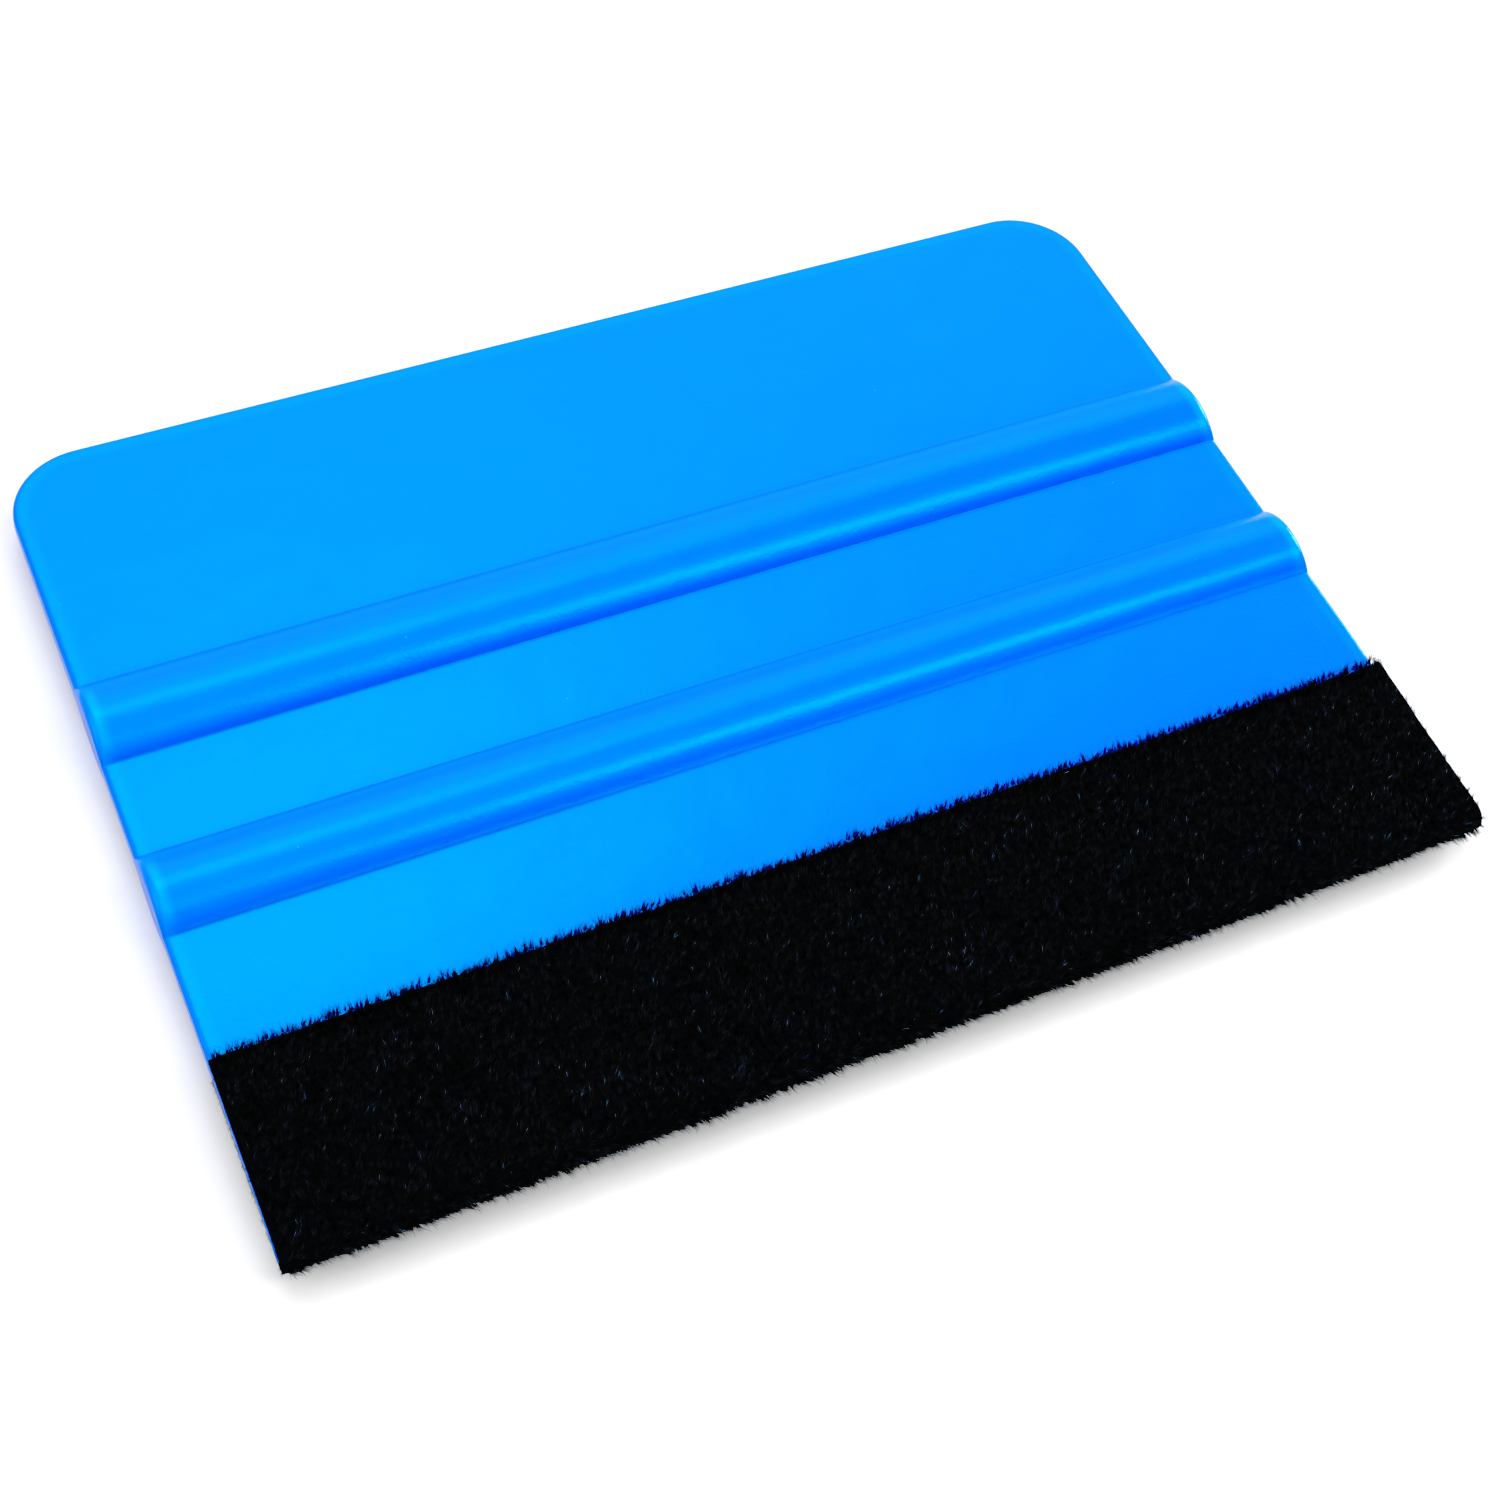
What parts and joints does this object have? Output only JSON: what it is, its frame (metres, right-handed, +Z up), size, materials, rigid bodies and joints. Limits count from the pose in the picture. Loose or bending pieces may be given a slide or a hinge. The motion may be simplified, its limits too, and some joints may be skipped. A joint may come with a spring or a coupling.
{
  "type": "squeegee applicator",
  "caption": "Ribbed plastic hand squeegee card with a felt-wrapped working edge, for smoothing adhesive vinyl film.",
  "frame": {"origin": "under the middle of the whole tool, on the surface that it lies on: the centre of the bounding box in X and Y, at the level of the two lower rib crests", "axes": "+X along the felt working edge (the 100 mm width), +Y from the felt towards the round-cornered grip edge, +Z up through the thickness"},
  "size_m": [0.1, 0.0738, 0.0055],
  "materials": {
    "card_plastic": "satin injection-moulded polypropylene, azure blue, very slightly translucent",
    "adhesive": "clear double-sided acrylic adhesive film",
    "felt": "short-napped black felt, cut edges"
  },
  "bodies": {
    "root": {"ribbed_card": "card_plastic", "adhesive_film": "adhesive", "felt_edge_strip": "felt"}
  },
  "joints": []
}
